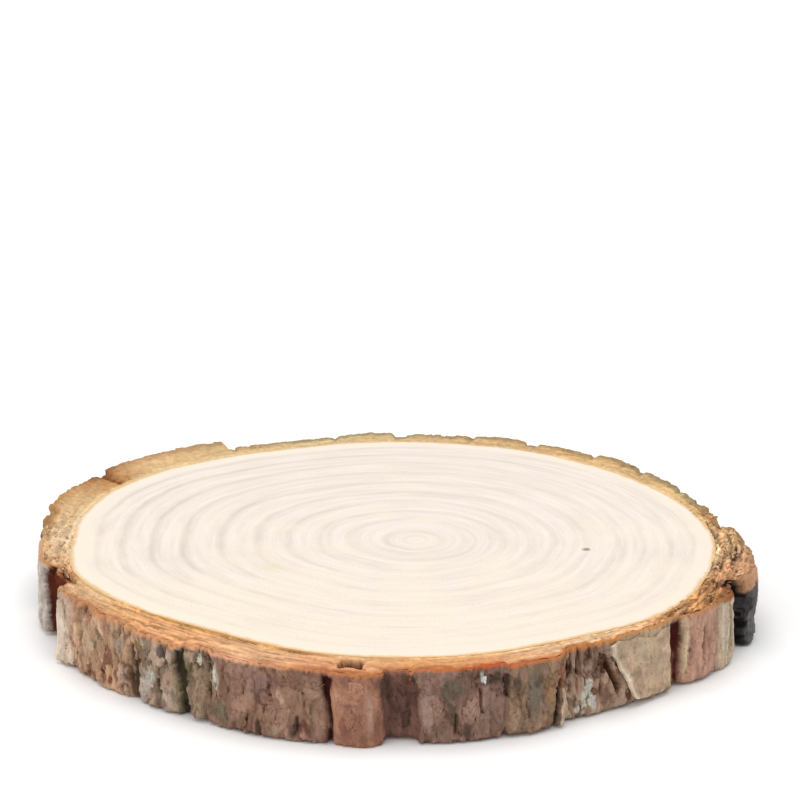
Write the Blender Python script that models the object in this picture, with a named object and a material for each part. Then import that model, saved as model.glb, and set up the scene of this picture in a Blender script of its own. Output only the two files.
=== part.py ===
"""A wood slice: one disc sawn across a young trunk, with its bark on, lying flat.

Metres, +Z up. The origin is the middle of the underside, on the surface that the slice lies on.
Angles are in degrees, anticlockwise from +X as seen from above.
The trunk grew as one thing and the saw only cut it off, so the slice is one solid: a round sawn
disc of wood whose rim is the bark, which stands in plates with fissures between them.
"""

import math
from collections import namedtuple

import bmesh
import bpy

MM = 0.001

# Driving sizes.
THICKNESS = 10.5 * MM  # between the two saw cuts
WOOD_RADIUS = 45.0 * MM  # mean, bark left out
WOOD_CENTRE = (-0.1 * MM, 1.5 * MM)  # the bark is thicker towards -Y, so this is off the origin

# How the wood's outline leaves its mean circle: (angle, radius over the mean radius).
WOOD_OUTLINE = (
    (0, 0.993), (30, 0.975), (62, 0.985), (90, 0.983), (114, 0.977), (150, 1.026),
    (182, 1.000), (198, 1.016), (233, 0.957), (260, 1.006), (284, 1.017), (301, 1.002),
    (320, 1.028), (345, 0.998),
)

# One plate of bark. start: angle of its first edge at the top cut. lean: how many degrees further on
# that edge lies at the foot. gap: degrees of fissure before it. first, last: bark thickness at its two
# ends. rise: how far its outer edge stands over the top cut. foot: its clearance over the surface.
Plate = namedtuple("Plate", "start lean gap first last rise foot")
PLATES = [
    Plate(start, lean, gap, first * MM, last * MM, rise * MM, foot * MM)
    for start, lean, gap, first, last, rise, foot in (
        (8.0, 0.5, 2.0, 1.8, 2.3, 0.2, 0.3),
        (20.0, 0.4, 1.0, 2.6, 2.1, 0.1, 0.5),
        (26.5, -0.6, 1.0, 2.6, 3.0, 0.3, 0.2),
        (39.5, 1.0, 1.6, 3.5, 3.8, 0.4, 0.6),
        (51.5, -1.0, 1.2, 3.0, 3.4, 0.2, 0.3),
        (65.0, 0.8, 2.4, 4.0, 3.6, 0.3, 0.7),
        (76.0, -0.5, 1.0, 3.1, 3.4, 0.1, 0.2),
        (90.0, 1.2, 2.2, 3.9, 3.2, 0.3, 0.5),
        (101.5, 0.0, 1.0, 2.8, 3.2, 0.1, 0.3),
        (122.0, -0.8, 1.2, 5.0, 5.1, 0.9, 0.4),
        (149.0, 0.6, 2.2, 4.8, 5.4, 0.6, 0.2),
        (167.5, 0.5, 1.2, 5.1, 3.8, 0.1, 0.6),
        (178.5, 0.0, 1.0, 4.2, 4.4, 0.2, 0.6),
        (201.8, 1.4, 11.0, 4.0, 4.2, -0.5, 0.2),
        (208.8, -0.4, 0.9, 4.0, 4.8, -0.2, 0.2),
        (225.8, 0.4, 1.4, 5.2, 6.0, -0.6, 0.2),
        (235.2, 2.6, 1.9, 5.8, 5.5, -0.3, 0.5),
        (241.4, -0.6, 0.8, 6.1, 5.1, -0.5, 0.2),
        (260.8, 0.4, 0.8, 5.2, 5.5, -0.6, 0.0),
        (272.9, 0.6, 5.1, 4.3, 3.9, -0.2, 0.2),
        (287.9, -0.7, 0.8, 4.2, 3.8, -0.6, 0.4),
        (298.8, -0.8, 1.0, 2.5, 2.2, -0.5, 0.3),
        (307.6, 5.2, 0.8, 2.3, 1.9, -0.2, 0.3),
        (322.6, 0.0, 2.8, 2.6, 4.2, -0.4, 0.4),
        (331.0, -0.5, 0.9, 4.5, 4.1, -0.3, 0.2),
        (342.2, 0.3, 5.6, 6.0, 6.1, -0.2, 0.3),
        (350.4, 0.0, 1.2, 5.5, 4.6, 0.0, 0.4),
        (359.0, -0.3, 1.0, 4.4, 3.5, 0.1, 0.5),
    )
]

CRACK = 1.5  # a gap narrower than this many degrees closes to a V at its foot
WIDE = 9.0  # a gap of this many degrees is as deep as any
FLOOR = (0.84, 0.5)  # bark left under a narrow crack and a wide fissure, over that of its thinner plate
EDGE = ((0.25, 0.86), (0.8, 0.95), (1.8, 1.0))  # (degrees in from a plate's edge, share of its bark)
SPACING = 2.3  # degrees between columns along a plate's face
BULGE = 0.25 * MM  # how far a plate's middle stands out past its ends

# The bark's outer face from the foot up: (height over the thickness, how far the face draws in).
WALL = ((0.0, 0.4 * MM), (0.14, 0.0), (0.5, -0.05 * MM), (0.86, 0.05 * MM), (1.0, 0.5 * MM))
SEAM_DROP = 0.12 * MM  # the bark's inner edge lies this far under the wood's face
SEAM_WIDTH = 0.3 * MM

# One column of the bark's outline: an edge angle at the foot and at the top, and its plate's sizes.
Column = namedtuple("Column", "foot_angle top_angle bark rise foot")


def blend(a, b, t):
    return a + (b - a) * t


def wood_radius(angle):
    """Radius of the wood at an angle: a smooth closed curve through WOOD_OUTLINE."""
    knots = [*WOOD_OUTLINE, (WOOD_OUTLINE[0][0] + 360, WOOD_OUTLINE[0][1])]
    angle %= 360
    index = max(i for i, knot in enumerate(knots[:-1]) if knot[0] <= angle)
    count = len(WOOD_OUTLINE)
    before = WOOD_OUTLINE[index - 1][1]
    after = WOOD_OUTLINE[(index + 2) % count][1]
    (start, first), (end, last) = knots[index], knots[index + 1]
    t = (angle - start) / (end - start)
    slope_in, slope_out = (last - before) / 2, (after - first) / 2
    smooth = (
        (2 * t**3 - 3 * t**2 + 1) * first
        + (t**3 - 2 * t**2 + t) * slope_in
        + (3 * t**2 - 2 * t**3) * last
        + (t**3 - t**2) * slope_out
    )
    return WOOD_RADIUS * smooth


def plate_columns(plate, following):
    """The columns of one plate, and of the fissure after it."""
    end_top = following.start - following.gap
    end_foot = end_top + following.lean
    start_top, start_foot = plate.start, plate.start + plate.lean
    width = end_top - start_top
    floor = blend(*FLOOR, min(1, following.gap / WIDE)) * min(plate.last, following.first)
    inset = EDGE[-1][0]
    face_count = max(1, round((width - 2 * inset) / SPACING))
    face = [(blend(inset, width - inset, i / face_count), 1.0) for i in range(1, face_count)]
    far_edge = [(width - into, share) for into, share in reversed(EDGE)]
    columns = []
    for into, share in [*EDGE, *face, *far_edge]:
        t = into / width
        bark = blend(plate.first, plate.last, t) * share + BULGE * math.sin(math.pi * t)
        top = blend(start_top, end_top, t)
        foot = blend(start_foot, end_foot, t)
        columns.append(Column(foot, top, bark, plate.rise, plate.foot))
    fissure_rise = min(plate.rise, following.rise) - 0.35 * MM
    fissure_foot = max(plate.foot, following.foot) + 0.3 * MM
    stops = (0.5,) if following.gap < CRACK else (0.12, 0.5, 0.88)
    for t in stops:
        into = t * following.gap
        columns.append(Column(end_foot + into, end_top + into, floor, fissure_rise, fissure_foot))
    return columns


def all_columns():
    """Every column of the bark, once round."""
    followers = PLATES[1:] + [PLATES[0]._replace(start=PLATES[0].start + 360)]
    return [c for plate, after in zip(PLATES, followers) for c in plate_columns(plate, after)]


def place(angle, radius, height):
    turn = math.radians(angle)
    return (
        WOOD_CENTRE[0] + radius * math.cos(turn),
        WOOD_CENTRE[1] + radius * math.sin(turn),
        height,
    )


def wall_point(column, share, draw):
    """A point of the bark's outer face, at a share of the height from foot to top."""
    angle = blend(column.foot_angle, column.top_angle, share)
    height = blend(column.foot, THICKNESS + column.rise, share)
    return place(angle, wood_radius(angle) + column.bark - draw, height)


def next_loop(mesh, loop, points):
    """A new loop of vertices at the points, joined to the loop by a band of faces."""
    edges = [mesh.edges.get((v, loop[i - 1])) for i, v in enumerate(loop)]
    made = bmesh.ops.extrude_edge_only(mesh, edges=edges)["geom"]
    twins = {}
    fresh = {v for v in made if isinstance(v, bmesh.types.BMVert)}
    for vert in loop:
        twins[vert] = next(e.other_vert(vert) for e in vert.link_edges if e.other_vert(vert) in fresh)
    for vert, point in zip(loop, points):
        twins[vert].co = point
    return [twins[vert] for vert in loop]


def slice_mesh():
    """The slice's outside, built from the rim of the underside up the bark and over to the top face."""
    columns = all_columns()
    mesh = bmesh.new()
    rim = bmesh.ops.create_circle(mesh, segments=len(columns), radius=WOOD_RADIUS)["verts"]
    for vert, column in zip(rim, columns):
        vert.co = place(column.foot_angle, wood_radius(column.foot_angle), 0)
    loop = rim
    for share, draw in WALL:
        loop = next_loop(mesh, loop, [wall_point(c, share, draw) for c in columns])
    seam = THICKNESS - SEAM_DROP
    wood = [(c.top_angle, wood_radius(c.top_angle)) for c in columns]
    loop = next_loop(mesh, loop, [place(angle, radius + SEAM_WIDTH, seam) for angle, radius in wood])
    loop = next_loop(mesh, loop, [place(angle, radius, THICKNESS) for angle, radius in wood])
    mesh.faces.new(loop)
    mesh.faces.new(rim)
    bmesh.ops.recalc_face_normals(mesh, faces=mesh.faces)
    data = bpy.data.meshes.new("wood_slice")
    mesh.to_mesh(data)
    mesh.free()
    data.shade_smooth()
    data.set_sharp_from_angle(angle=math.radians(35))
    return data


def bark_and_wood():
    """The slice's finish, a pale sawn wood."""
    material = bpy.data.materials.new("sawn_wood")
    material.use_nodes = True
    finish = material.node_tree.nodes["Principled BSDF"].inputs
    finish["Base Color"].default_value = (0.85, 0.75, 0.64, 1)
    finish["Roughness"].default_value = 0.75
    finish["Metallic"].default_value = 0.0
    return material


def main():
    for thing in list(bpy.data.objects):
        bpy.data.objects.remove(thing)
    piece = bpy.data.objects.new("wood_slice", slice_mesh())
    piece.data.materials.append(bark_and_wood())
    bpy.context.scene.collection.objects.link(piece)


main()
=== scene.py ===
"""Finish of a wood slice: pale sawn wood inside a rim of orange inner bark and rough plated outer bark.

The outlines of the slice come from the frame, and the finish is laid over them. Lengths in the lists of
plates, rifts, stains and flakes are in millimetres, and everything handed to Blender is in metres. Angles
are in degrees about the middle of the wood, anticlockwise from +X as seen from above, so 270 is the front.
"""

import functools
import math
import random
from bisect import bisect_right
from collections import namedtuple

import bmesh
import bpy
from bpy.props import FloatProperty, FloatVectorProperty, IntProperty, PointerProperty
from mathutils import Matrix, Vector, noise
from mathutils.bvhtree import BVHTree


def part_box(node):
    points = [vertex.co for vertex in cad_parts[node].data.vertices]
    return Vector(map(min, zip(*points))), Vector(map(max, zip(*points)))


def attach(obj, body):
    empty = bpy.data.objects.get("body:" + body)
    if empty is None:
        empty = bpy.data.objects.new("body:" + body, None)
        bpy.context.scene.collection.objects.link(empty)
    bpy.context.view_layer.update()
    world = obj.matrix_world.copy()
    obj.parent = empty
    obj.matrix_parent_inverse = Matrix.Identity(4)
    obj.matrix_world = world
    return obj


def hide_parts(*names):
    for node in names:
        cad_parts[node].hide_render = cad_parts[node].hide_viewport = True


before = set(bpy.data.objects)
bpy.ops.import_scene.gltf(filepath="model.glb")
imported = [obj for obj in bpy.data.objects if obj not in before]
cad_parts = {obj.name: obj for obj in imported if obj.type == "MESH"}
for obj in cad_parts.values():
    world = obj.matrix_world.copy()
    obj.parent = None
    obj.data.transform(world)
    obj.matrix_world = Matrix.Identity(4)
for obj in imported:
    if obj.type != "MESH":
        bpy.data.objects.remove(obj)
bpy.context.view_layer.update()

bl_info = {
    "name": "Wood Slice Finish",
    "version": (1, 0, 0),
    "blender": (4, 5, 0),
    "location": "3D View > Sidebar > Wood Slice",
    "description": "Builds the sawn wood, the bark and the stage of a wood slice over its solid",
    "category": "Object",
}

MM = 0.001
NODE = "wood_slice"
BODY = "root"
WOOD_CENTRE = Vector((-0.1 * MM, 1.5 * MM))  # middle of the wood, as in the solid
PITH = Vector((3.1 * MM, -0.6 * MM))  # growth centre of the rings, from the middle of the wood
BARK_RADIUS = 48.0  # mean radius of the bark's outside in mm, where its noise is read
SEAM_DROP = 0.16 * MM  # how far the cut inner bark lies under the wood beside it
WOOD_STEPS = 640  # points of the wood, once round
INNER_STEPS = 1400  # points of the inner bark, once round

# Share of the way from the pith to the bark at which each year's growth ends.
RING_AGES = (0.0, 0.093, 0.195, 0.285, 0.378, 0.472, 0.577, 0.678, 0.768, 0.858, 0.93, 1.0)


def ink(code):
    """A colour as Blender holds it, from the six digits that a picture editor shows."""
    shares = [int(code[i : i + 2], 16) / 255 for i in (0, 2, 4)]
    return Vector([s / 12.92 if s <= 0.04045 else ((s + 0.055) / 1.055) ** 2.4 for s in shares])


def table(kind, *rows):
    """Rows of a kind, in which each six-digit code becomes a colour."""
    return [kind(*(ink(part) if isinstance(part, str) else part for part in row)) for row in rows]


# One plate of the outer bark. start: where it begins at the top cut. lean: how many degrees further on
# that edge lies at the foot. tint: its colour. second: the colour that mottles it. rough: how broken its
# face is. open: how far the crack before it has opened, out of 1.
Plate = namedtuple("Plate", "start lean tint second rough open")
PLATES = table(
    Plate,
    (7.5, 0.5, "B5906A", "80705A", 0.9, 1.0),
    (19.5, 0.4, "948670", "706858", 0.8, 0.7),
    (26.0, -0.6, "A59078", "74684E", 0.7, 0.8),
    (38.7, 1.0, "947E6C", "B09A80", 0.8, 1.0),
    (50.9, -1.0, "9A8272", "6C6052", 1.0, 0.6),
    (63.8, 0.8, "A58C78", "7A6A58", 0.6, 1.0),
    (75.5, -0.5, "8A7868", "B5A288", 1.1, 0.6),
    (88.9, 1.2, "9C8576", "6E5E50", 0.7, 1.0),
    (101.0, 0.0, "8C7E6A", "A89880", 0.9, 0.7),
    (121.4, -0.8, "A08A70", "746452", 0.8, 1.0),
    (147.9, 0.6, "9C8268", "6E6250", 0.9, 1.0),
    (167.0, 0.5, "6C6656", "4E4C40", 0.9, 1.0),
    (178.0, 0.0, "CFC4B9", "A99A8B", 0.6, 0.7),
    (196.2, 1.6, "BC9E86", "C8B29C", 0.8, 1.0),
    (208.4, -0.4, "C49C7E", "A8886E", 1.2, 0.6),
    (225.1, 0.4, "A68C76", "B8A494", 1.1, 0.35),
    (234.2, 2.6, "947C66", "A4907C", 0.9, 0.8),
    (241.0, -0.6, "8C6C5A", "9E7C6A", 0.75, 0.45),
    (260.4, 0.4, "A2765F", "8A6050", 0.35, 1.0),
    (270.5, 0.6, "826658", "98796A", 0.7, 1.0),
    (287.5, -0.7, "8E7460", "9A7C64", 0.7, 0.6),
    (298.3, -0.8, "A08470", "B69C86", 1.0, 0.7),
    (307.2, 5.2, "B8A086", "A08C70", 0.4, 0.6),
    (321.2, 0.0, "C49A84", "A88270", 0.45, 1.0),
    (330.6, -0.5, "B6A68C", "CCB098", 0.45, 0.9),
    (339.6, 0.3, "706D6B", "545250", 0.5, 1.0),
    (349.8, 0.0, "8E7C70", "665850", 0.7, 0.8),
    (358.5, -0.3, "A67E5C", "7C6048", 0.9, 0.8),
)

# What shows in the fissures from one angle to the next: the bark's own dark colour there with painted shade
# in it, near black from 336 to 352 where they lie in deepest shade.
Floor = namedtuple("Floor", "angle tint")
FISSURE_SHADES = table(
    Floor,
    (0, "3A2418"), (120, "4A3220"), (180, "5A3424"), (191, "4E2012"), (199, "5A2613"), (210, "5A3018"),
    (232, "4C4536"), (237, "37301F"), (242, "4A2A1E"), (262, "4C221C"), (268, "72544A"), (275, "6C4C42"),
    (287, "34261E"), (298, "4A2818"), (309, "4E2C1C"), (321, "4E1A0F"), (336, "30140E"), (341, "120C0A"),
    (352, "181210"),
)

# A rift in a plate: its middle in degrees and mm over the surface, half its width in degrees, half its
# height in mm, its slant in degrees per mm and its depth in mm.
Rift = namedtuple("Rift", "angle height wide tall slant depth")
RIFTS = table(
    Rift,
    (206.9, 3.4, 0.35, 3.2, -0.55, 0.7),
    (211.6, 4.4, 0.30, 1.6, -0.3, 0.6),
    (219.2, 3.4, 0.32, 1.9, -0.3, 0.5),
    (217.4, 2.2, 0.30, 1.3, -0.2, 0.7),
    (221.6, 5.8, 0.28, 1.5, 0.1, 0.35),
    (230.2, 4.6, 0.35, 3.0, -0.25, 0.7),
    (247.4, 1.9, 0.40, 1.4, 0.35, 0.5),
    (249.9, 1.3, 0.45, 1.4, 0.0, 0.5),
    (255.4, 2.2, 0.35, 1.8, 0.2, 0.6),
    (251.8, 6.2, 0.25, 2.0, -0.2, 0.5),
    (279.2, 2.6, 0.35, 1.8, 0.1, 0.6),
    (283.0, 5.6, 0.28, 2.4, 0.0, 0.6),
    (290.6, 2.6, 0.30, 2.0, -0.2, 0.5),
    (295.4, 3.4, 0.50, 3.8, 0.16, 1.1),
    (304.7, 5.2, 0.30, 2.6, 0.0, 0.45),
    # A deep rift along the big flake's left edge, darkened by the painted shade of the fissure colour.
    (306.7, 5.2, 0.8, 3.6, -0.60, 1.2),
    (326.3, 5.0, 0.22, 3.4, 0.0, 0.5),
    (334.4, 5.0, 0.25, 4.2, 0.05, 0.6),
    (55.0, 4.6, 0.30, 2.6, 0.2, 0.7),
    (83.0, 5.6, 0.35, 3.0, -0.2, 0.7),
    (112.0, 4.0, 0.35, 2.8, 0.1, 0.8),
    (136.0, 5.2, 0.35, 3.2, -0.1, 0.8),
    (157.0, 4.6, 0.30, 2.6, 0.3, 0.7),
    (172.0, 5.6, 0.35, 2.6, 0.0, 0.7),
)

# A stain, crust or bare spot on the bark, and one patch of painted shade: its middle in degrees and mm over
# the surface, its half width in degrees and half height in mm, its slant in degrees per mm, its colour and
# how much of it shows.
Stain = namedtuple("Stain", "angle height wide tall slant tint cover")
STAINS = table(
    Stain,
    (204.8, 3.8, 1.0, 4.0, -0.35, "DAC9B8", 0.85),
    (205.2, 5.2, 0.6, 1.6, -0.3, "E2D6C8", 0.8),
    (212.5, 6.0, 2.6, 2.6, 0.0, "BCA488", 0.7),
    (216.4, 7.6, 0.9, 1.6, 0.1, "706C58", 0.8),
    (215.4, 5.2, 0.5, 1.2, 0.0, "66604E", 0.8),
    (218.8, 4.4, 0.7, 0.8, 0.3, "6A3E2C", 0.7),
    (217.2, 2.7, 0.6, 0.7, 0.3, "6A3C2A", 0.9),
    (219.6, 1.6, 0.5, 0.9, 0.0, "6E3C28", 0.9),
    (214.0, 2.2, 0.5, 0.5, 0.0, "6A4430", 0.8),
    (210.2, 3.0, 0.7, 0.6, 0.6, "7A4A2C", 0.9),
    (222.0, 7.0, 1.6, 1.8, 0.0, "A49886", 0.7),
    (222.4, 2.6, 1.5, 1.9, 0.0, "CDB09C", 0.75),
    (224.3, 5.0, 0.6, 3.2, 0.0, "84745A", 0.6),
    (226.2, 7.4, 1.0, 1.5, -0.3, "8A6A40", 0.75),
    (228.0, 3.2, 1.3, 2.6, 0.1, "C6B9B0", 0.85),
    (229.3, 4.6, 0.6, 1.2, 0.2, "B9BCA6", 0.8),
    (231.6, 8.4, 1.0, 1.2, 0.0, "5E4C4A", 0.85),
    (231.4, 1.2, 1.4, 0.9, 0.0, "6A5448", 0.7),
    (234.6, 3.6, 0.28, 1.5, -0.25, "7C8458", 0.45),
    (235.2, 1.6, 0.28, 1.0, -0.25, "808A5C", 0.45),
    (236.8, 6.8, 1.3, 1.8, 0.0, "5C5038", 0.8),
    (238.9, 8.9, 0.5, 0.9, 0.0, "BDB4A2", 0.8),
    (237.6, 1.2, 1.2, 1.0, 0.0, "6A4A3E", 0.6),
    (241.8, 6.9, 0.75, 1.9, -0.2, "B9B5A2", 0.95),
    (243.0, 2.3, 1.9, 1.6, 0.0, "6A6250", 0.75),
    (245.8, 6.2, 0.9, 2.4, 0.0, "78584C", 0.6),
    (250.3, 7.0, 2.2, 2.1, 0.0, "7E645E", 0.7),
    (253.6, 5.2, 0.5, 1.6, -0.3, "B49A80", 0.7),
    (252.4, 1.4, 0.5, 1.1, 0.0, "A8967E", 0.7),
    (247.6, 1.9, 0.5, 1.0, 0.4, "4A3830", 0.75),
    (249.8, 1.2, 0.5, 1.3, 0.0, "4A362E", 0.7),
    (255.2, 1.8, 1.0, 1.3, 0.0, "54463C", 0.75),
    (257.4, 3.6, 0.9, 1.6, 0.0, "A08870", 0.6),
    (262.4, 6.6, 0.5, 0.5, 0.0, "BC9080", 0.85),
    (263.8, 5.7, 1.2, 0.35, 0.0, "76524A", 0.7),
    (266.4, 4.6, 0.8, 3.4, 0.0, "AC8A7A", 0.6),
    (262.6, 2.6, 0.7, 2.0, 0.1, "7E5248", 0.65),
    (267.6, 8.6, 0.6, 0.8, 0.0, "6A5042", 0.6),
    (274.9, 5.4, 0.8, 4.2, 0.05, "9C8276", 0.8),
    (278.4, 7.6, 1.7, 2.0, 0.0, "625C4E", 0.85),
    (278.6, 4.0, 0.9, 2.0, -0.1, "4A443A", 0.85),
    (281.0, 1.6, 1.0, 1.2, 0.0, "3C3830", 0.8),
    (284.6, 8.6, 2.0, 1.0, 0.0, "3E362E", 0.85),
    (283.4, 8.9, 0.3, 0.7, 0.0, "D4D6CC", 1.0),
    (284.2, 5.4, 1.4, 2.4, 0.0, "8E7468", 0.6),
    (291.6, 5.6, 1.6, 3.6, 0.0, "6E665A", 0.8),
    (289.0, 7.2, 0.7, 1.0, 0.0, "4C443A", 0.8),
    (293.9, 5.6, 0.6, 3.4, 0.0, "A07C50", 0.65),
    (296.3, 7.0, 1.5, 2.2, 0.0, "9A6C52", 0.7),
    (297.0, 2.2, 0.5, 2.2, 0.0, "B49C84", 0.8),
    (299.5, 7.4, 0.35, 1.8, 0.0, "BBA290", 0.85),
    (301.6, 8.2, 0.8, 1.3, 0.0, "5E4640", 0.7),
    (303.8, 6.4, 1.2, 1.4, 0.0, "5C4A3C", 0.75),
    (302.0, 4.4, 0.8, 0.9, 0.15, "C2C1B6", 0.85),
    (301.3, 3.2, 0.9, 0.9, 0.0, "C6C6BA", 0.85),
    (302.9, 2.1, 0.8, 1.1, -0.3, "CECDC2", 0.85),
    (301.0, 0.9, 0.4, 0.4, 0.0, "B5B39E", 0.9),
    (299.6, 2.2, 0.45, 1.4, -0.2, "4A4238", 0.85),
    (299.9, 1.4, 0.35, 0.5, 0.0, "D0CCC0", 0.9),
    (305.4, 2.4, 1.0, 1.4, 0.0, "6A4C40", 0.7),
    (308.6, 1.8, 1.4, 1.4, 0.0, "B79A86", 0.7),
    (305.6, 8.6, 0.5, 1.0, 0.0, "A8907E", 0.7),
    (314.6, 6.0, 1.8, 3.6, -0.1, "BCA68A", 0.6),
    (312.4, 7.6, 1.2, 1.6, 0.0, "AFA58E", 0.6),
    (318.6, 8.2, 1.0, 1.6, 0.0, "A88C78", 0.5),
    (322.9, 5.2, 0.6, 4.4, 0.0, "D0BA98", 0.9),
    (326.4, 5.6, 0.5, 3.2, 0.0, "8C6A5C", 0.7),
    (323.6, 5.0, 0.35, 0.45, 0.0, "5A2E22", 0.9),
    (328.6, 1.6, 1.0, 1.4, 0.0, "C09C8C", 0.6),
    (333.8, 8.0, 0.6, 1.2, 0.0, "84705E", 0.6),
    (335.6, 5.0, 0.35, 4.2, 0.0, "D6CDBE", 0.8),
    (331.9, 5.0, 0.4, 4.2, 0.0, "CFC2B2", 0.7),
    (333.6, 4.0, 0.3, 3.6, 0.1, "E0D0C0", 0.7),
    # Painted shade: near black over the notch and the end wall of the plate beside it.
    (340.4, 4.5, 2.9, 8.0, 0.0, "120F0E", 1.0),
    (346.8, 4.0, 1.2, 4.4, 0.0, "7C7A78", 0.7),
)

# The cut edge of the inner bark, from one angle to the next: its colour beside the wood, in the middle and
# beside the outer bark, how torn it is in mm, and how much of it runs in layers.
Band = namedtuple("Band", "angle inside middle outside torn layers")
BANDS = table(
    Band,
    (0, "E6C69A", "D4AC80", "9C7A54", 0.46, 1.0),
    (12, "DFBC88", "C89E6C", "AA8258", 0.24, 0.8),
    (24, "E2C494", "CEAC7A", "9C8A66", 0.12, 0.5),
    (60, "E2C494", "D0AA7A", "B08E62", 0.12, 0.3),
    (106, "E6CE9E", "D4B88C", "A8966E", 0.10, 0.2),
    (118, "E6CC9E", "D6B686", "B0926A", 0.08, 0.2),
    (140, "E6CC9C", "D8B484", "C49A70", 0.06, 0.15),
    (148, "DCBC8A", "B27C4C", "8C5A30", 0.15, 0.2),
    (158, "E4C896", "D4AC7C", "C49868", 0.08, 0.2),
    (172, "F0D8B2", "DEBC92", "A67A4E", 0.26, 0.3),
    (180, "F0D8B4", "E4C8A4", "CEA67E", 0.40, 0.3),
    (188, "EED2A8", "E0BC94", "CEA278", 0.42, 0.3),
    (194, "EACA9C", "D8AE84", "B47A52", 0.40, 0.3),
    (198, "E6C08A", "C08A60", "7A3C20", 0.26, 0.2),
    (202, "EAC896", "DAAE80", "C5926D", 0.22, 0.3),
    (209, "ECCA98", "E2B88C", "BE8A62", 0.20, 0.4),
    (217, "E2B47E", "D6A472", "BE865E", 0.15, 0.7),
    (226, "DCAA6A", "D8A070", "CE966A", 0.12, 0.8),
    (236, "D8A464", "DAA272", "D29468", 0.10, 0.8),
    (246, "DAA870", "DEAE84", "DEA680", 0.08, 0.8),
    (254, "CC965A", "D4A078", "C88A60", 0.08, 0.7),
    (260, "E2B484", "DAA072", "C07A52", 0.10, 0.5),
    (265, "ECC292", "DCA478", "BE784A", 0.12, 0.5),
    (271, "EABC88", "D69C68", "BC7850", 0.10, 0.3),
    (278, "EABA80", "D29A68", "C4703E", 0.10, 0.4),
    (284, "EABC86", "D69C6C", "BC5E34", 0.12, 0.4),
    (292, "F2D6AA", "E2B084", "BE7244", 0.12, 0.4),
    (304, "F4DEBA", "EAC69E", "C0824E", 0.14, 0.5),
    (316, "ECC698", "DCB084", "C48C5A", 0.20, 0.7),
    (328, "E2B47C", "CC9664", "BA8458", 0.38, 0.9),
    (337, "E0B47C", "C08A5C", "7A4428", 0.46, 0.9),
    (345, "F0CCA0", "DCA87C", "C89A78", 0.50, 1.0),
)

BREAK_SHADE = ink("521F0A")  # painted shade inside breaks and pits, laid on more the deeper they are

# A break in the cut edge of the inner bark: its first and last angle, its first and last share of the
# inner bark's width, and its depth in mm, which also sets how dark its painted shade is.
Break = namedtuple("Break", "start end near far depth")
BREAKS = table(
    Break,
    (260.6, 265.8, 0.26, 0.76, 1.7),
    (268.0, 269.0, 0.30, 0.85, 0.7),
    (223.0, 257.0, 0.05, 0.22, 0.36),
    (211.0, 224.0, 0.06, 0.20, 0.30),
    (146.6, 149.2, 0.25, 1.00, 0.7),
    (192.0, 200.6, 0.60, 1.00, 0.9),
    (336.4, 341.0, 0.45, 1.00, 1.2),
    (297.6, 298.8, 0.50, 1.00, 0.5),
    (320.0, 322.6, 0.40, 1.00, 0.8),
)


class SliceSizes(bpy.types.PropertyGroup):
    """Sizes of the finish that a user may change."""

    ring_depth: FloatProperty(
        name="Ring Depth", description="How far the early wood of each ring lies under its late wood",
        default=0.03 * MM, min=0, soft_max=0.2 * MM, subtype="DISTANCE", unit="LENGTH",
    )
    saw_depth: FloatProperty(
        name="Saw Mark Depth", description="Height of the waves that the saw left on the wood",
        default=0.02 * MM, min=0, soft_max=0.2 * MM, subtype="DISTANCE", unit="LENGTH",
    )
    furrow_depth: FloatProperty(
        name="Furrow Depth", description="Depth of the fine upright furrows in the outer bark",
        default=0.42 * MM, min=0, soft_max=2 * MM, subtype="DISTANCE", unit="LENGTH",
    )
    scale_relief: FloatProperty(
        name="Scale Relief", description="How far the small scales of the outer bark stand over each other",
        default=0.34 * MM, min=0, soft_max=2 * MM, subtype="DISTANCE", unit="LENGTH",
    )
    lip_width: FloatProperty(
        name="Lip Width", description="Width of the outer bark where the saw cut it",
        default=0.45 * MM, min=0.1 * MM, soft_max=2 * MM, subtype="DISTANCE", unit="LENGTH",
    )
    flake_count: IntProperty(
        name="Loose Flakes", description="Number of small flakes lifting off the outer bark",
        default=150, min=0, soft_max=600,
    )
    fibre_count: IntProperty(
        name="Torn Fibres", description="Number of torn fibres along the cut edge of the bark",
        default=700, min=0, soft_max=2000,
    )


class SliceColours(bpy.types.PropertyGroup):
    """Colours of the finish that a user may change."""

    pale_wood: FloatVectorProperty(
        name="Pale Wood", description="Early wood, which fills most of each ring",
        default=ink("EFE4DB"), size=3, min=0, max=1, subtype="COLOR",
    )
    late_wood: FloatVectorProperty(
        name="Late Wood", description="The darker line that ends each ring",
        default=ink("CDBFB4"), size=3, min=0, max=1, subtype="COLOR",
    )
    dry_wood: FloatVectorProperty(
        name="Dry Wood", description="The line that ends each ring on the side seen in front",
        default=ink("D6C4A6"), size=3, min=0, max=1, subtype="COLOR",
    )
    warm_wood: FloatVectorProperty(
        name="Warm Wood", description="Yellow tinge towards the bark",
        default=ink("EFE3D1"), size=3, min=0, max=1, subtype="COLOR",
    )
    wood_rim: FloatVectorProperty(
        name="Wood Rim", description="The last growth, right beside the bark",
        default=ink("DDB070"), size=3, min=0, max=1, subtype="COLOR",
    )
    floor: FloatVectorProperty(
        name="Floor", description="Plain pale floor of the stage",
        default=(0.97, 0.97, 0.975), size=3, min=0, max=1, subtype="COLOR",
    )


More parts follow.
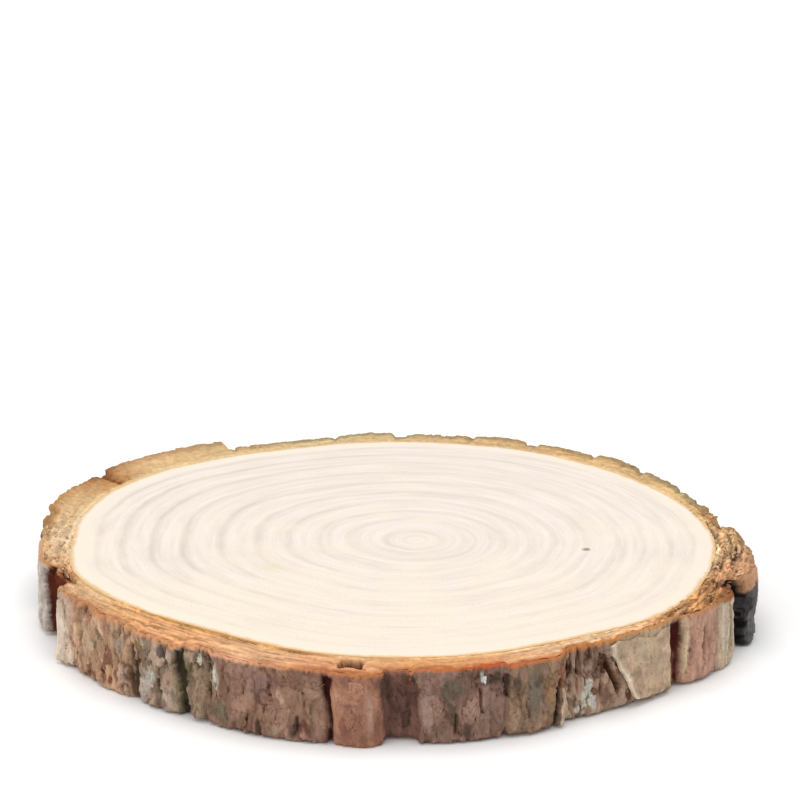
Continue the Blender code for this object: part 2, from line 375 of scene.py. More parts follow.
class StageSizes(bpy.types.PropertyGroup):
    """Camera and lights of the stage."""

    pitch: FloatProperty(
        name="Camera Pitch", description="How far the camera looks down",
        default=math.radians(17.3), min=0, max=math.radians(90), subtype="ANGLE", unit="ROTATION",
    )
    distance: FloatProperty(
        name="Camera Distance", description="From the camera to the point of the floor that it looks at",
        default=0.62, min=0.1, soft_max=3, subtype="DISTANCE", unit="LENGTH",
    )
    beyond: FloatProperty(
        name="Look Beyond", description="How far behind the slice's middle the camera looks",
        default=100.36 * MM, soft_max=0.5, subtype="DISTANCE", unit="LENGTH",
    )
    aside: FloatProperty(
        name="Look Aside", description="How far right of the slice's middle the camera looks",
        default=0.67 * MM, soft_max=0.1, subtype="DISTANCE", unit="LENGTH",
    )
    lens: FloatProperty(
        name="Lens", description="Focal length in mm on a 36 mm wide film",
        default=168.07, min=10, soft_max=300,
    )
    sky: FloatProperty(
        name="Sky", description="Strength of the even light from all round",
        default=0.72, min=0,
    )
    top: FloatProperty(
        name="Top Light", description="Power of the large soft light over the slice",
        default=4.6, min=0, unit="POWER",
    )
    key: FloatProperty(
        name="Key Light", description="Power of the large soft light in front on the left",
        default=1.8, min=0, unit="POWER",
    )


def sizes():
    return bpy.context.scene.slice_sizes


def colours():
    return bpy.context.scene.slice_colours


# Arithmetic, angles and noise.


def blend(a, b, t):
    """The share t of the way from a to b."""
    return a + (b - a) * t


def step(low, high, value):
    """0 below low, 1 above high, and smooth between."""
    t = min(1.0, max(0.0, (value - low) / (high - low)))
    return t * t * (3 - 2 * t)


def turned(angle):
    """The angle brought into -180 to 180."""
    return (angle + 180) % 360 - 180


def polar(angle, radius, height):
    """The point at an angle and a radius about the middle of the wood."""
    turn = math.radians(angle)
    return Vector((
        WOOD_CENTRE.x + radius * math.cos(turn),
        WOOD_CENTRE.y + radius * math.sin(turn),
        height,
    ))


def bearing(point):
    """The angle of a point about the middle of the wood."""
    return math.degrees(math.atan2(point.y - WOOD_CENTRE.y, point.x - WOOD_CENTRE.x)) % 360


def grain(place, across, along, seed):
    """Smooth noise from -1 to 1 at a place, with lumps of so many mm across and along the trunk.

    Each use has a seed of its own, so that no two of them rise and fall together.
    """
    x, y = place[0] / across + 7.3 * seed, place[1] / across - 3.1 * seed
    return noise.noise(Vector((x, y, place[2] / along)))


def layered(place, along, across):
    """Smooth noise in thin layers, so many mm long and thick, where place[2] is the way across them."""
    return noise.noise(Vector((place[0] / along, place[1] / along, place[2] / across)))


def round_row(rows, angle):
    """The neighbours of an angle in a list sorted by angle, and the share of the way between them."""
    angle %= 360
    index = bisect_right([row[0] for row in rows], angle) - 1
    first, last = rows[index], rows[(index + 1) % len(rows)]
    span = (last[0] - first[0]) % 360
    return first, last, ((angle - first[0]) % 360) / span


def crossing(rows, angle):
    """The fields of a list by angle, read between its two nearest rows."""
    first, last, t = round_row(rows, angle)
    return [blend(a, b, t) for a, b in zip(first[1:], last[1:])]


class Blank:
    """The solid slice, asked for the outlines that the finish is laid over."""

    def __init__(self, node):
        mesh = bmesh.new()
        mesh.from_mesh(node.data)
        bmesh.ops.remove_doubles(mesh, verts=mesh.verts, dist=0.001 * MM)
        self.tree = BVHTree.FromBMesh(mesh)
        low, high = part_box(NODE)
        self.reach = (high - low).length
        self.top = self.tree.ray_cast(Vector((0, 0, self.reach)), Vector((0, 0, -1)))[0].z
        face = {v for f in mesh.faces if self.level(f.verts) for v in f.verts}
        self.rim = sorted((bearing(v.co), (v.co.xy - WOOD_CENTRE).length) for v in face)
        self.angles = [angle for angle, radius in self.rim]
        self.lowest, self.highest = 0.17 * self.top, 0.81 * self.top  # between every foot and every lip
        mesh.free()

    def level(self, verts):
        return all(abs(v.co.z - self.top) < 0.002 * MM for v in verts)

    def wood(self, angle):
        """Radius of the wood."""
        angle %= 360
        index = bisect_right(self.angles, angle) - 1
        (start, first), (end, last) = self.rim[index], self.rim[(index + 1) % len(self.rim)]
        span = (end - start) % 360
        return blend(first, last, ((angle - start) % 360) / span if span else 0)

    def bark(self, angle, height):
        """Radius of the bark's outside."""
        height = min(self.highest, max(self.lowest, height))
        start = polar(angle, self.reach, height)
        inward = (polar(angle, 0, height) - start).normalized()
        return (self.tree.ray_cast(start, inward)[0].xy - WOOD_CENTRE).length

    def lip(self, angle):
        """Height of the bark's top edge."""
        above = polar(angle, self.bark(angle, self.highest) - 0.8 * MM, self.reach)
        return self.tree.ray_cast(above, Vector((0, 0, -1)))[0].z

    def foot(self, angle):
        """Height of the bark's lower edge."""
        below = polar(angle, self.bark(angle, self.lowest) - 0.6 * MM, -self.reach)
        return self.tree.ray_cast(below, Vector((0, 0, 1)))[0].z


BLANK = Blank(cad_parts[NODE])


def wood_edge(angle):
    """Radius of the wood, with the small waves of its last growth."""
    place = polar(angle, BARK_RADIUS, 0)
    return BLANK.wood(angle) + MM * (0.10 * grain(place, 2.5, 1, 11) + 0.05 * grain(place, 0.9, 1, 12))


# The outside of the bark, as a table of its radius over angle and height.

STEPS = 1500  # columns of the bark's outside, once round
ROWS = 46  # rows of the bark's outside, from its foot to its lip
SEED = 1  # of the noise that bends the small scales

# One point of the bark's outside. sunk: how far in mm it lies under its plate's face. scale: 0 to 1, which
# small scale of the bark it is on. split: 0 to 1, how much it is a crack between two scales.
Spot = namedtuple("Spot", "radius height sunk scale split")


def wandering(place):
    """Degrees by which the plates' edges leave their straight lines."""
    return 0.55 * grain(place, 3.2, 4.5, 1) + 0.25 * grain(place, 1.1, 1.6, 2)


def plate_at(angle, share):
    """The plate under an angle at a share of the bark's height, and how far into it that is, in degrees."""
    for index, plate in enumerate(PLATES):
        after = PLATES[(index + 1) % len(PLATES)]
        start = plate.start + plate.lean * (1 - share)
        width = (after.start + after.lean * (1 - share) - start) % 360
        into = (angle - start) % 360
        if into < width:
            return plate, after, into, width
    return PLATES[-1], PLATES[0], 0.0, 1.0


def around(values, reach, pick):
    """pick() of the values within so many degrees of each of them, once round."""
    count = len(values)
    steps = round(count * reach / 360)
    return [pick([values[(i + k) % count] for k in range(-steps, steps + 1)]) for i in range(count)]


@functools.lru_cache(maxsize=None)
def bark_table():
    """Spots of the bark's outside: STEPS columns of ROWS spots."""
    noise.seed_set(SEED)  # without it, noise_vector differs from run to run
    size = sizes()
    turns = [360 * i / STEPS for i in range(STEPS)]
    middle = 0.5 * BLANK.top
    faces = [BLANK.bark(angle, middle) for angle in turns]
    # The plates' faces carried over the fissures: the widest fissure is filled from the lower of its sides.
    crowns = around(faces, 6.0, max)
    crowns = around(crowns, 6.0, min)
    crowns = around(crowns, 0.6, lambda near: sum(near) / len(near))
    columns = []
    for i, angle in enumerate(turns):
        rim = polar(angle, BARK_RADIUS, 0)
        drift = 0.5 * wandering(rim)
        chips = 0.10 * grain(rim, 1.4, 1, 21) + 0.06 * grain(rim, 0.6, 1, 22)
        lip = BLANK.lip(angle + drift) + MM * chips
        foot = BLANK.foot(angle + drift) + MM * abs(0.12 * grain(rim, 1.2, 1, 23))
        column = []
        for j in range(ROWS):
            share = j / (ROWS - 1)
            height = blend(foot, lip, share)
            column.append(bark_spot(angle, share, height, crowns[i], size))
        columns.append(column)
    return columns


def bark_spot(angle, share, height, crown, size):
    """The bark's outside at a share of its height, where its plates' faces would be at the crown."""
    rim = polar(angle, BARK_RADIUS, 0)
    place = (rim.x, rim.y, height / MM)
    angle += wandering(place)
    plate, after, into, width = plate_at(angle, share)
    opened = (plate if 2 * into < width else after).open
    sunk, wide = fissure_depth(angle, share, height, crown, opened)
    sunk = max(sunk, rift_depth(angle, place[2]))
    relief, scale, split = plate_relief(place, plate.rough, size)
    # Worn top and bottom edges.
    edge = 0.30 * MM * (1 - step(0, 0.05, share)) + 0.16 * MM * step(0.965, 1, share)
    edge *= 1 + 0.9 * grain(place, 0.9, 9, 9)
    radius = crown - sunk * (1.15 - 0.15 * wide) * MM + relief - edge
    return Spot(radius, height, sunk - relief / MM, scale, split)


def fissure_depth(angle, share, height, crown, opened):
    """How far in mm the solid lies under the crown, and 0 to 1, how wide a fissure that is."""
    base = BLANK.bark(angle, height)
    part = (crown - base) / (crown - BLANK.wood(angle))
    wide = step(0.36, 0.46, part)
    # Crisp edges to the plates, and cracks that stay nearly closed at the saw cut.
    closed = blend(0.75, 0.1, wide) * step(0.84, 0.97, share)
    sunk = max(0.0, crown - base) / MM * step(0.13, 0.20, part) * (1 - closed)
    return sunk * blend(opened, 1, wide), wide


def rift_depth(angle, height):
    """Depth in mm of the deepest rift at a point, or 0."""
    deepest = 0.0
    for rift in RIFTS:
        along = 1 - step(0.6, 1.0, abs(height - rift.height) / rift.tall)
        if along:
            aside = turned(angle - rift.angle - rift.slant * (height - rift.height)) / rift.wide
            deepest = max(deepest, rift.depth * along * (1 - step(0.4, 1.1, abs(aside))))
    return deepest


def plate_relief(place, rough, size):
    """How far a plate's face stands out, which small scale is there, and how much it is a crack."""
    # Upright furrows, where stretched noise crosses zero.
    line = 1 - min(1, abs(grain(place, 1.5, 8.0, 3)) / 0.16)
    furrow = line * line * step(-0.1, 0.35, grain(place, 4, 6, 4))
    # Small scales with cracks between them.
    cell = Vector((place[0] / 1.9, place[1] / 1.9, place[2] / 3.4))
    cell += 0.55 * noise.noise_vector(cell * 1.3) + 0.25 * noise.noise_vector(cell * 3.9)
    distances, points = noise.voronoi(cell)
    split = (1 - step(0.02, 0.22, distances[1] - distances[0])) * step(-0.15, 0.3, grain(place, 3, 4, 10))
    scale = noise.cell(points[0] * 91.7)
    relief = (
        -size.furrow_depth * rough * furrow
        + size.scale_relief * rough * (0.8 * (scale - 0.5) - 0.7 * split)
        + MM * 0.30 * grain(place, 5, 6, 5)
        + MM * 0.20 * rough * grain(place, 1.5, 2.6, 6)
        + MM * 0.15 * rough * grain(place, 0.7, 1.0, 7)
        + MM * (0.03 + 0.06 * rough) * grain(place, 0.34, 0.42, 8)
    )
    return relief, scale, max(split, furrow) * min(1, rough + 0.2)


def bark_spot_at(angle, share):
    """The bark's outside between the table's spots."""
    columns = bark_table()
    i, j = (angle % 360) * STEPS / 360, min(1, max(0, share)) * (ROWS - 1)
    low = min(ROWS - 2, int(j))
    first, last = (
        [blend(a, b, j - low) for a, b in zip(column[low], column[low + 1])]
        for column in (columns[int(i) % STEPS], columns[(int(i) + 1) % STEPS])
    )
    return Spot(*(blend(a, b, i - int(i)) for a, b in zip(first, last)))


# Colours of the bark, point by point.


def stain_cover(stain, angle, height, place):
    """How much of a stain shows at a point, with a ragged edge."""
    tall = (height - stain.height) / stain.tall
    if abs(tall) > 1.7:
        return 0.0
    wide = turned(angle - stain.angle - stain.slant * (height - stain.height)) / stain.wide
    if abs(wide) > 1.7:
        return 0.0
    ragged = 0.45 * grain(place, 0.9, 1.4, 31) + 0.25 * grain(place, 0.4, 0.6, 32)
    return stain.cover * (1 - step(0.55, 1.15, math.hypot(wide, tall) + ragged))


@functools.lru_cache(maxsize=None)
def stains_near(degree):
    """The stains that may reach a whole degree of the bark, in their order."""
    return [s for s in STAINS if abs(turned(s.angle - degree)) < 1.7 * s.wide + 11 * abs(s.slant) + 2.5]


def outer_tint(angle, share, spot):
    """Colour of the outer bark at a spot, with painted shade in its cracks, fissures and rifts."""
    rim = polar(angle, BARK_RADIUS, 0)
    height = spot.height / MM
    place = (rim.x, rim.y, height)
    angle = angle + wandering(place)
    plate, after, into, width = plate_at(angle, share)
    mottle = step(-0.25, 0.35, grain(place, 2.2, 4.0, 33) + 0.4 * grain(place, 0.8, 1.6, 34))
    tint = plate.tint.lerp(plate.second, 0.75 * mottle)
    tint = tint * (1 + 0.20 * (spot.scale - 0.5) * plate.rough)
    tint = tint * (1 + 0.26 * grain(place, 0.8, 3.4, 35) + 0.20 * grain(place, 0.4, 0.9, 36))
    for stain in stains_near(round(angle % 360)):
        cover = stain_cover(stain, angle, height, place)
        if cover:
            tint = tint.lerp(stain.tint * (1 + 0.15 * grain(place, 0.5, 0.7, 37)), cover)
    # The fissure colour is partly the bark's own colour there and partly painted shade: cracks between the
    # scales take some of it, and fissure and rift floors take more the deeper they are sunk.
    deep = crossing(FISSURE_SHADES, angle)[0]
    deep = deep * (1 + 0.7 * grain(place, 1.0, 5, 45) + 0.35 * grain(place, 0.45, 1.2, 46))
    tint = tint.lerp(deep * 1.6, 0.75 * spot.split * min(1, plate.rough))
    tint = tint.lerp(deep, step(0.45, 1.0, spot.sunk))
    # The orange of the inner bark shows over the top edge, where the skin has worn off.
    ragged = 0.3 + 0.9 * step(0.8, 1.1, plate.rough)
    worn = 0.985 + ragged * (0.03 * grain(place, 1.1, 4, 38) + 0.02 * grain(place, 0.5, 2, 39))
    worn -= (0.17 + 0.20 * grain(place, 2.6, 9, 47)) * (1 - step(12, 22, abs(turned(angle - 352))))
    shown = step(worn - 0.02 - 0.05 * ragged, worn + 0.01, share) * (1 - step(0.8, 1.4, spot.sunk))
    return tint.lerp(band_at(angle)[2], shown)


def band_at(angle):
    """The cut inner bark at an angle: its three colours, how torn it is and how layered."""
    return crossing(BANDS, angle)


def band_tint(angle, across, torn_depth, place):
    """Colour of the cut inner bark, where across is 0 at the wood and 1 at the outer bark, with painted
    shade in its breaks and pits.
    """
    inside, middle, outside, torn, layers = band_at(angle)
    tint = inside.lerp(middle, step(0.14, 0.34, across + 0.08 * grain(place, 1.5, 1, 41)))
    tint = tint.lerp(outside, step(0.66, 1.0, across + 0.14 * grain(place, 1.2, 1, 42)))
    shade = (1.0 + 0.9 * torn) * layers * layered(place, 5, 0.45)
    shade += (0.15 + 0.6 * torn) * grain(place, 0.7, 0.7, 43) + 0.10 * grain(place, 0.35, 0.4, 44)
    # Painted shade: breaks and pits turn dark brown the deeper they are.
    return (tint * (1 + shade)).lerp(BREAK_SHADE, 0.92 * step(0.12, 0.75, torn_depth))


# Meshes.


def tinted_mesh():
    """An empty mesh whose points can hold a colour."""
    mesh = bmesh.new()
    mesh.verts.layers.float_color.new("tint")
    return mesh


def wrapped(mesh, columns, rows, place):
    """A grid of columns once round and rows along a section, whose points place(vert, column, row) lays."""
    made = bmesh.ops.create_grid(mesh, x_segments=columns, y_segments=rows, size=1)["verts"]
    for vert in made:
        column = round((vert.co.x + 1) / 2 * columns) % columns
        row = round((vert.co.y + 1) / 2 * rows)
        place(vert, column, row)
    bmesh.ops.remove_doubles(mesh, verts=mesh.verts, dist=1e-7)
    bmesh.ops.recalc_face_normals(mesh, faces=mesh.faces)
    return mesh


def evenly(start, end, count):
    """count + 1 numbers from start to end."""
    return [blend(start, end, i / count) for i in range(count + 1)]


def square_section(top, side, bottom, back):
    """(across, up) round a square section and back to its start: 0 at the wood and at the foot, or 1."""
    return (
        [(u, 1.0) for u in evenly(0, 1, top)]
        + [(1.0, v) for v in evenly(1, 0, side)[1:]]
        + [(u, 0.0) for u in evenly(1, 0, bottom)[1:]]
        + [(0.0, v) for v in evenly(0, 1, back)[1:]]
    )


def finished(mesh, name, material, sharp=50):
    """The mesh as a smooth-shaded object that rides on the slice."""
    data = bpy.data.meshes.new(name)
    mesh.to_mesh(data)
    mesh.free()
    data.shade_smooth()
    data.set_sharp_from_angle(angle=math.radians(sharp))
    data.materials.append(material)
    piece = bpy.data.objects.new(name, data)
    bpy.context.scene.collection.objects.link(piece)
    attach(piece, BODY)
    return piece


def wood_mesh():
    """The wood, from the pith out to the bark, with both its sawn faces."""
    size = sizes()
    face, side, under = 118, 4, 24  # points along the upper face, the side and the lower face
    section = (
        [(t, 1.0) for t in evenly(0, 1, face)]
        + [(1.0, v) for v in evenly(1, 0, side)[1:]]
        + [(t, 0.0) for t in evenly(1, 0, under)[1:]]
    )
    middle = WOOD_CENTRE + PITH
    turns = [math.tau * i / WOOD_STEPS for i in range(WOOD_STEPS)]
    reaches = [pith_to_edge(turn) for turn in turns]

    mesh = bmesh.new()
    growth, shade = (mesh.verts.layers.float.new(name) for name in ("growth", "shade"))

    def place(vert, column, row):
        out, up = section[row]
        turn, radius = turns[column], reaches[column] * out
        x, y = middle.x + radius * math.cos(turn), middle.y + radius * math.sin(turn)
        spot = (x / MM, y / MM, 0)
        vert[growth] = ring_age(out, spot)
        if 0 < up < 1:
            vert[shade] = 1.0
            vert.co = (x, y, BLANK.top * up)
            return
        vert[shade] = wood_shade(spot)
        relief = wood_relief(out, vert[growth], spot, size)
        vert.co = (x, y, BLANK.top + relief if up else abs(relief))

    return wrapped(mesh, WOOD_STEPS, len(section) - 1, place)


def wood_relief(out, age, spot, size):
    """Height of the sawn face over its mean: rings, saw waves and a worn edge."""
    late = math.exp(-((((age + 0.06) % 1) - 0.06) / 0.10) ** 2)
    saw = math.sin(spot[1] * 2.3 + 0.5 * grain(spot, 14, 1, 51)) * grain(spot, 20, 1, 52)
    relief = size.ring_depth * (late - 0.6) + size.saw_depth * saw + MM * 0.02 * grain(spot, 6, 1, 53)
    return relief - 0.10 * MM * step(0.985, 1.0, out)


def pith_to_edge(turn):
    """Distance from the pith to the wood's edge in a direction."""
    distance = BLANK.wood(math.degrees(turn))
    way = Vector((math.cos(turn), math.sin(turn)))
    for _ in range(8):
        point = PITH + distance * way
        distance += wood_edge(math.degrees(math.atan2(point.y, point.x))) - point.length
    return distance


def ring_age(out, place):
    """Years of growth at a share of the way out, with the waves that the rings have."""
    out = out + out * (0.006 * grain(place, 9, 1, 54) + 0.003 * grain(place, 4, 1, 55))
    out = min(1.0, max(0.0, out))
    index = min(len(RING_AGES) - 2, max(0, bisect_right(RING_AGES, out) - 1))
    return index + (out - RING_AGES[index]) / (RING_AGES[index + 1] - RING_AGES[index])


def wood_shade(place):
    """How dark the rings are drawn, which differs from side to side."""
    left = 1 - step(-38, 12, place[0])
    front = 1 - step(-30, -8, place[1])
    return (0.32 + 0.40 * left) * (1 - 0.3 * front) + 0.15 * grain(place, 12, 1, 56)


def inner_bark_mesh():
    """The inner bark: a ring from the wood out to just under the skin of the outer bark."""
    size = sizes()
    section = square_section(top=26, side=12, bottom=10, back=2)
    angles = [360 * i / INNER_STEPS for i in range(INNER_STEPS)]
    cuts = [bark_section(angle, size) for angle in angles]

    mesh = tinted_mesh()
    tint = mesh.verts.layers.float_color["tint"]

    def place(vert, column, row):
        across, up = section[row]
        angle = angles[column]
        near, far, core, lip, foot = cuts[column]
        rim = polar(angle, BARK_RADIUS, 0)
        spot = (rim.x, rim.y, across * (far - near) / MM)
        deep = 0.0
        if up == 1:
            radius = blend(near, far, across)
            relief, deep = cut_relief(angle, across, spot)
            height = cut_height(across, lip - 0.05 * MM) + relief
        elif up == 0:
            radius = blend(near, core, across)
            height = blend(0.0, foot + 0.12 * MM, across**2) + 0.05 * MM * abs(grain(spot, 1.0, 0.6, 61))
        else:
            radius = blend(near, blend(core, far, step(0.93, 1.0, up)), across)
            height = blend(foot + 0.3 * MM, lip - 0.3 * MM, up)
        vert.co = polar(angle, radius, max(0.02 * MM, height))
        vert[tint] = (*band_tint(angle, across, deep, spot), 1)

    return wrapped(mesh, INNER_STEPS, len(section) - 1, place)


def cut_height(across, lip):
    """Mean height of the cut inner bark, which rises from the wood to the lip in a curve."""
    return blend(BLANK.top - SEAM_DROP, lip, across**1.6)


SHARES = (0, 0.2, 0.4, 0.6, 0.8, 1)  # of the bark's height, at which its skin is looked at


def bark_section(angle, size):
    """The inner bark at an angle: its radii at the wood, at the lip and under the skin, and its heights."""
    near = wood_edge(angle) - 0.5 * MM
    spots = [bark_spot_at(angle, share) for share in SHARES]
    beside = [bark_spot_at(angle + aside, share) for aside in (-0.4, 0.4) for share in SHARES[:-1]]
    rim = polar(angle, BARK_RADIUS, 0)
    lip_width = size.lip_width * (1 + 0.55 * grain(rim, 1.6, 1, 62))
    far = spots[-1].radius - lip_width
    core = min(spot.radius for spot in spots + beside) - 0.6 * MM
    return near, far, max(core, near + 0.5 * MM), spots[-1].height, spots[0].height


def cut_relief(angle, across, place):
    """Height of the cut inner bark over its mean, and how deep in mm it is broken there."""
    torn, layers = band_at(angle)[3:]
    layer = layered(place, 6, 0.55)
    crumb = grain(place, 0.9, 0.8, 63) + 0.6 * grain(place, 0.45, 0.4, 64)
    pit = step(0.35, 0.75, grain(place, 1.3, 0.9, 65) + 0.5 * grain(place, 0.6, 0.5, 66))
    relief = torn * (1.2 * layers * layer + 0.7 * crumb) - 2.2 * torn * pit
    deep = 1.6 * torn * pit + max(0.0, -0.8 * torn * layers * layer)
    for gap in BREAKS:
        wander = 0.9 * grain(place, 1.1, 1.1, 67) + 0.5 * grain(place, 0.5, 0.5, 68)
        share = step(0, 1.2, angle + wander - gap.start) * step(0, 0.9, gap.end - angle - wander)
        share *= step(0, 0.12, across + 0.10 * wander - gap.near)
        share *= step(0, 0.06, gap.far - across - 0.08 * wander)
        relief -= gap.depth * share
        deep += gap.depth * share
    fade = step(0.0, 0.06, across)
    return MM * relief * fade, deep * fade


def outer_bark_mesh():
    """The outer bark: a thin skin round the inner bark, with its plates, fissures, furrows and scales."""
    reach = sizes().lip_width * 1.9
    inner = [bark_section(360 * i / STEPS, sizes())[2] - 0.1 * MM for i in range(STEPS)]
    section = square_section(top=5, side=ROWS - 1, bottom=4, back=2)
    columns = bark_table()
    mesh = tinted_mesh()
    tint = mesh.verts.layers.float_color["tint"]

    def place(vert, column, row):
        across, up = section[row]
        angle = 360 * column / STEPS
        spot = columns[column][round(up * (ROWS - 1))]
        if up < 1 or across == 1:
            lift = 0.15 * MM * (1 - across) if up == 0 else 0
            vert.co = polar(angle, blend(inner[column], spot.radius, across), spot.height + lift)
            vert[tint] = (*outer_tint(angle, up, spot), 1)
            return
        rim = polar(angle, BARK_RADIUS, 0)
        ground = (rim.x, rim.y, 3 * across)
        chip = MM * (0.10 * grain(ground, 0.7, 0.5, 71) + 0.08 * grain(ground, 1.6, 1.2, 72))
        drop = 0.30 * MM * (1 - across) ** 2
        skin = band_at(angle)[2] * (1 - 0.15 * across + 0.2 * grain(ground, 0.8, 0.5, 73))
        vert.co = polar(angle, spot.radius - reach * (1 - across), spot.height + chip * across - drop)
        vert[tint] = (*skin, 1)

    return wrapped(mesh, STEPS, len(section) - 1, place)


# Flakes and fibres.

# A flake of bark lifting off a plate: its corners in degrees at the top and the foot, its heights in mm,
# how far its edges stand off in mm (left, right, top, foot), its thickness in mm, its colour, and a lighter
# colour along its left edge, a painted highlight where the thick edge catches the light.
Flake = namedtuple("Flake", "top_left top_right foot_left foot_right high low lifts thick tint edge")
FLAKES = table(
    Flake,
    (305.6, 318.9, 310.9, 318.6, 9.3, 0.9, (0.85, 0.05, 0.0, 0.35), 0.55, "B89E84", "DCC8B0"),
    (203.2, 205.9, 204.4, 208.4, 8.6, 0.6, (0.35, 0.15, 0.0, 0.35), 0.40, "CDB7A2", "DCC9B6"),
    (296.5, 297.3, 295.9, 299.0, 5.6, 0.4, (0.45, 0.10, 0.1, 0.1), 0.35, "B8A088", "D2BEA6"),
    (44.0, 50.0, 46.0, 50.4, 8.8, 1.2, (0.6, 0.2, 0.1, 0.3), 0.45, "A8947A", "C8B69C"),
    (90.5, 96.0, 91.5, 95.0, 9.2, 2.2, (0.5, 0.2, 0.1, 0.5), 0.40, "AC9680", "CDBBA2"),
    (128.0, 137.0, 130.0, 136.0, 9.6, 1.5, (0.4, 0.4, 0.1, 0.3), 0.45, "A08A72", "C4AE92"),
    (156.0, 163.0, 155.0, 161.5, 8.6, 0.9, (0.3, 0.6, 0.1, 0.3), 0.45, "A68E74", "CAB294"),
)


def shell(mesh, columns, rows, thick, place):
    """Adds a thin closed shell whose outer face has its point and colour from place(s, t), both 0 to 1."""
    tint = mesh.verts.layers.float_color["tint"]
    made = bmesh.ops.create_grid(mesh, x_segments=columns, y_segments=rows, size=1)["verts"]
    for vert in made:
        vert.co, paint = place((vert.co.x + 1) / 2, (vert.co.y + 1) / 2)
        vert[tint] = (*paint, 1)
    faces = list({face for vert in made for face in vert.link_faces})
    inner = bmesh.ops.extrude_face_region(mesh, geom=faces)["geom"]
    for vert in inner:
        if isinstance(vert, bmesh.types.BMVert):
            outwards = (vert.co.xy - WOOD_CENTRE).normalized()
            vert.co -= thick * Vector((*outwards, 0))


def stained(paint, angle, height, place, cover):
    """The paint with the stains of the bark over it, as far as they cover."""
    for stain in stains_near(round(angle % 360)):
        paint = paint.lerp(stain.tint, cover * stain_cover(stain, angle, height, place))
    return paint


def flake_shell(mesh, flake, columns=22, rows=26):
    """Adds one large flake: a curled sheet with ragged edges."""
    left, right, top, foot = flake.lifts

    def place(s, t):
        start = blend(flake.foot_left, flake.top_left, t)
        end = blend(flake.foot_right, flake.top_right, t)
        height = blend(flake.low, flake.high, t)
        spot = (5 * s, start, 5 * t)
        wave = 0.30 * grain(spot, 1.5, 1.2, 81) + 0.14 * grain(spot, 0.6, 0.5, 82)
        angle = blend(start, end, s) + wave * abs(2 * s - 1) ** 2
        height += (0.5 * grain(spot, 1.2, 9, 83) + 0.3 * grain(spot, 0.5, 9, 84)) * abs(2 * t - 1) ** 3
        off = left * (1 - step(0, 0.4, s)) ** 1.3 + right * step(0.7, 1, s) + top * step(0.8, 1, t)
        off += foot * (1 - step(0, 0.25, t)) + 0.12 + 0.08 * grain(spot, 1.2, 3, 85)
        shade = 0.30 * grain(spot, 0.5, 3.0, 86) + 0.25 * grain(spot, 0.3, 0.3, 87)
        shade += 0.45 * grain(spot, 1.4, 1.9, 88)
        # Painted highlight: a lighter band along the left edge, where the thick edge catches the light.
        paint = flake.tint.lerp(flake.edge, 1 - step(0.03, 0.12, s)) * (1 + shade)
        paint = stained(paint, angle, height, spot, 0.7)
        return polar(angle, bark_face(angle, height * MM, off * MM), height * MM), paint

    shell(mesh, columns, rows, flake.thick * MM, place)


def blob_shell(mesh, blob, seed, columns=9, rows=11):
    """Adds one small scale or crust with a ragged round outline, close to the bark."""

    def place(s, t):
        x, y = 2 * s - 1, 2 * t - 1
        x, y = x * math.sqrt(1 - y * y / 2), y * math.sqrt(1 - x * x / 2)  # a square made round
        out = math.hypot(x, y)
        way = Vector((x, y, 0)) / (out + 0.01) + Vector((0, 0, seed))
        ragged = 1 + 0.6 * noise.noise(1.5 * way) + 0.35 * noise.noise(4 * way)
        ragged += 0.12 * noise.noise(9 * way)
        height = min(9.0, max(0.4, blob.height + blob.tall * y * ragged))
        angle = blob.angle + blob.wide * x * ragged + blob.slant * (height - blob.height)
        spot = (20 * x, 20 * y, seed)
        off = blob.lift * (0.6 + 0.4 * math.cos(3 * x + seed)) * (1 - 0.6 * out**3)
        off += 0.05 * grain(spot, 7, 1, 91)
        paint = blob.tint * (1 + 0.35 * grain(spot, 5, 1, 92) + 0.35 * grain(spot, 2, 1, 93))
        return polar(angle, bark_face(angle, height * MM, off * MM), height * MM), paint

    shell(mesh, columns, rows, blob.thick * MM, place)


NEAR_BY = ((0, 0), (0.5, 0), (-0.5, 0), (0, 0.1), (0, -0.1))  # degrees aside, share of the height up


def bark_face(angle, height, off):
    """Radius of a sheet that lies so far off the bark's smoothed outside, and never under the bark."""
    column = bark_table()[round((angle % 360) * STEPS / 360) % STEPS]
    share = (height - column[0].height) / (column[-1].height - column[0].height)
    beside = [bark_spot_at(angle + aside, share + rise) for aside, rise in NEAR_BY]
    mean = sum(spot.radius for spot in beside) / len(beside)
    return max(mean + off, beside[0].radius + 0.4 * off + 0.04 * MM)


# A small scale or crust on the bark, as a Stain but with how far in mm it stands off, and its thickness.
Blob = namedtuple("Blob", "angle height wide tall slant lift thick tint")


def loose_scales(count):
    """Small scales at random over the rougher plates."""
    draw = random.Random(4)
    scales = []
    while len(scales) < count:
        angle, height = draw.uniform(0, 360), draw.uniform(1.2, 8.4)
        plate, after, into, width = plate_at(angle, height / 10.5)
        if draw.random() > plate.rough - 0.2 or into < 0.8 or into > width - 1.2:
            continue
        spot = bark_spot_at(angle, height / 10)
        tint = outer_tint(angle, height / 10, spot) * draw.uniform(0.9, 1.15)
        scales.append(Blob(
            angle, height, draw.uniform(0.3, 1.1), draw.uniform(0.4, 1.5), draw.uniform(-0.3, 0.3),
            draw.uniform(0.08, 0.3), draw.uniform(0.15, 0.28), tint,
        ))
    return scales


def flakes_mesh():
    """Every flake and scale, as separate thin shells."""
    mesh = tinted_mesh()
    for flake in FLAKES:
        flake_shell(mesh, flake)
    for seed, scale in enumerate(loose_scales(sizes().flake_count)):
        blob_shell(mesh, scale, seed)
    bmesh.ops.recalc_face_normals(mesh, faces=mesh.faces)
    return mesh


